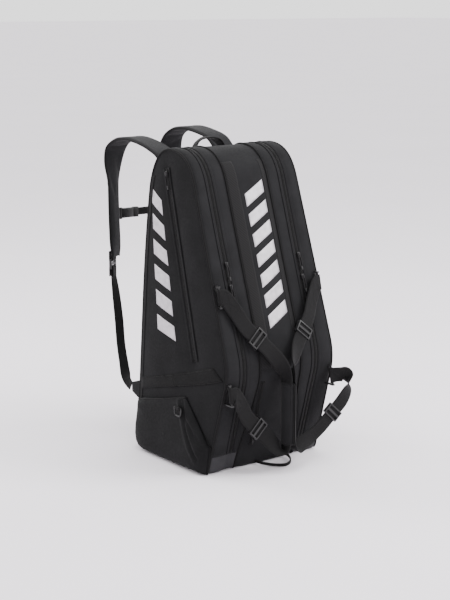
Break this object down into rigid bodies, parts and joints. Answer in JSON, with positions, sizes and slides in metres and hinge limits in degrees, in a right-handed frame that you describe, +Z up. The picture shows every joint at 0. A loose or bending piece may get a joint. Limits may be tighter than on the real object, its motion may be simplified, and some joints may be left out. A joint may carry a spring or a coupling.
{
  "type": "racket bag",
  "caption": "Tall racket tournament bag that stands on its base, with hinged side covers, zips, padded shoulder straps, carry handles and a shoe pocket.",
  "frame": {"origin": "on the floor, on the centre plane, on the lower face of the base board", "axes": "+Z up along the bag, -Y out of the front face, +Y out of the back with the shoulder straps, X across"},
  "size_m": [0.3936, 0.6397, 0.7718],
  "materials": {
    "shell_fabric": "woven polyester, PU backed, near black",
    "coated_fabric": "coated polyester, dark grey, wipeable",
    "lining": "plain woven lining, dark grey",
    "back_mesh": "air mesh over foam, black",
    "piping": "woven piping over cord, black",
    "zip_tape": "knitted zip tape, black",
    "zip_teeth": "coil teeth, black",
    "webbing": "woven webbing, black",
    "strap_fabric": "woven strap cover, dark grey",
    "grip_fabric": "padded grip cover, near black",
    "stitching": "polyester thread, dark grey",
    "hardware": "moulded acetal, satin black",
    "slider_metal": "painted die cast, black",
    "print": "silver transfer print, satin"
  },
  "bodies": {
    "body_shell": {"back_panel": "back_mesh", "base_board": "coated_fabric", "left_base_guard": "coated_fabric", "right_base_guard": "coated_fabric", "left_inner_gusset": "shell_fabric", "right_inner_gusset": "shell_fabric", "left_zip_tape_inner": "zip_tape", "right_zip_tape_inner": "zip_tape", "centre_front_panel": "shell_fabric", "centre_divider": "lining", "front_pocket_zip": "zip_tape", "left_shoulder_pad": "strap_fabric", "right_shoulder_pad": "strap_fabric", "left_ladder_lock": "hardware", "right_ladder_lock": "hardware", "left_strap_webbing": "webbing", "right_strap_webbing": "webbing", "left_strap_tab": "webbing", "right_strap_tab": "webbing", "strap_yoke": "webbing"},
    "left_cover": {"left_side_panel": "shell_fabric", "left_outer_gusset": "shell_fabric", "left_zip_tape_outer": "zip_tape", "left_side_pocket_zip": "zip_tape", "side_band": "webbing", "shoe_pocket": "coated_fabric", "d_ring_tab": "webbing", "left_upper_anchor": "hardware", "left_lower_anchor": "hardware"},
    "right_cover": {"right_side_panel": "shell_fabric", "right_outer_gusset": "shell_fabric", "right_zip_tape_outer": "zip_tape", "right_side_pocket_zip": "zip_tape", "right_upper_anchor": "hardware", "right_lower_anchor": "hardware"},
    "left_handle": {"left_handle_webbing": "webbing", "left_grip_pad": "grip_fabric"},
    "right_handle": {"right_handle_webbing": "webbing", "right_grip_pad": "grip_fabric"},
    "sternum_strap": {"left_sternum_carriage": "hardware", "right_sternum_carriage": "hardware", "sternum_socket": "hardware", "sternum_webbing": "webbing"},
    "sternum_buckle": {"sternum_tongue": "hardware"},
    "top_loop": {"haul_loop": "webbing"},
    "bottom_loop": {"base_loop": "webbing"},
    "side_ring": {"d_ring": "hardware"},
    "left_upper_slider_body": {"left_upper_slider": "slider_metal"},
    "right_upper_slider_body": {"right_upper_slider": "slider_metal"},
    "left_lower_slider_body": {"left_lower_slider": "slider_metal"},
    "right_lower_slider_body": {"right_lower_slider": "slider_metal"},
    "left_side_pocket_slider_body": {"left_side_pocket_slider": "slider_metal"},
    "right_side_pocket_slider_body": {"right_side_pocket_slider": "slider_metal"},
    "front_pocket_slider_body": {"front_pocket_slider": "slider_metal"},
    "left_upper_glide_body": {"left_upper_glide": "hardware"},
    "right_upper_glide_body": {"right_upper_glide": "hardware"},
    "left_lower_glide_body": {"left_lower_glide": "hardware"},
    "right_lower_glide_body": {"right_lower_glide": "hardware"}
  },
  "joints": [
    {"name": "left_cover_open", "type": "hinge", "parent": "body_shell", "child": "left_cover", "pos_m": [-0.165, 0.148, 0.014], "axis": [-0.0205, 0.0754, -0.9969], "range_deg": [0, 100]},
    {"name": "right_cover_open", "type": "hinge", "parent": "body_shell", "child": "right_cover", "pos_m": [0.165, 0.148, 0.014], "axis": [-0.0205, -0.0754, 0.9969], "range_deg": [0, 100]},
    {"name": "left_handle_swing", "type": "hinge", "parent": "left_cover", "child": "left_handle", "pos_m": [-0.15287, -0.22121, 0.205], "axis": [-0.0197, -0.211, -0.9773], "range_deg": [0, 130]},
    {"name": "right_handle_swing", "type": "hinge", "parent": "right_cover", "child": "right_handle", "pos_m": [0.15287, -0.22121, 0.205], "axis": [-0.0197, 0.211, 0.9773], "range_deg": [0, 56]},
    {"name": "left_upper_slider_travel", "type": "slide", "parent": "body_shell", "child": "left_upper_slider_body", "axis": [0, 0.3094, 0.9509], "range_m": [0, 0.16]},
    {"name": "left_lower_slider_travel", "type": "slide", "parent": "body_shell", "child": "left_lower_slider_body", "axis": [0, -0.3094, -0.9509], "range_m": [0, 0.1]},
    {"name": "right_upper_slider_travel", "type": "slide", "parent": "body_shell", "child": "right_upper_slider_body", "axis": [0, 0.3094, 0.9509], "range_m": [0, 0.16]},
    {"name": "right_lower_slider_travel", "type": "slide", "parent": "body_shell", "child": "right_lower_slider_body", "axis": [0, -0.3094, -0.9509], "range_m": [0, 0.028]},
    {"name": "left_side_slider_travel", "type": "slide", "parent": "left_cover", "child": "left_side_pocket_slider_body", "axis": [-0.0194, -0.2636, -0.9644], "range_m": [0, 0.36]},
    {"name": "right_side_slider_travel", "type": "slide", "parent": "right_cover", "child": "right_side_pocket_slider_body", "axis": [0.0194, -0.2636, -0.9644], "range_m": [0, 0.36]},
    {"name": "front_slider_travel", "type": "slide", "parent": "body_shell", "child": "front_pocket_slider_body", "axis": [0, -0.2684, 0.9633], "range_m": [0, 0.1]},
    {"name": "sternum_height", "type": "slide", "parent": "body_shell", "child": "sternum_strap", "axis": [0, 0.02, 0.9998], "range_m": [-0.05, 0.05]},
    {"name": "sternum_release", "type": "slide", "parent": "sternum_strap", "child": "sternum_buckle", "axis": [1, 0, 0], "range_m": [0, 0.028]},
    {"name": "haul_loop_flop", "type": "hinge", "parent": "body_shell", "child": "top_loop", "pos_m": [0, 0.066, 0.73], "axis": [-1, 0, 0], "range_deg": [0, 80], "stiffness_Nm_per_rad": 0.02},
    {"name": "base_loop_lift", "type": "hinge", "parent": "body_shell", "child": "bottom_loop", "pos_m": [0.019, -0.156, 0.009], "axis": [-1, 0, 0], "range_deg": [0, 60]},
    {"name": "d_ring_swing", "type": "hinge", "parent": "left_cover", "child": "side_ring", "pos_m": [-0.18643, -0.06, 0.146], "axis": [0, 1, 0], "range_deg": [0, 150]},
    {"name": "left_upper_glide_travel", "type": "slide", "parent": "left_handle", "child": "left_upper_glide_body", "axis": [0.6419, -0.272, -0.7169], "range_m": [-0.007, 0.007]},
    {"name": "right_upper_glide_travel", "type": "slide", "parent": "right_handle", "child": "right_upper_glide_body", "axis": [-0.6419, -0.272, -0.7169], "range_m": [-0.007, 0.007]},
    {"name": "left_lower_glide_travel", "type": "slide", "parent": "left_handle", "child": "left_lower_glide_body", "axis": [-0.69, 0.106, 0.716], "range_m": [-0.002, 0.007]},
    {"name": "right_lower_glide_travel", "type": "slide", "parent": "right_handle", "child": "right_lower_glide_body", "axis": [0.6721, -0.155, 0.7241], "range_m": [-0.007, 0.007]}
  ]
}
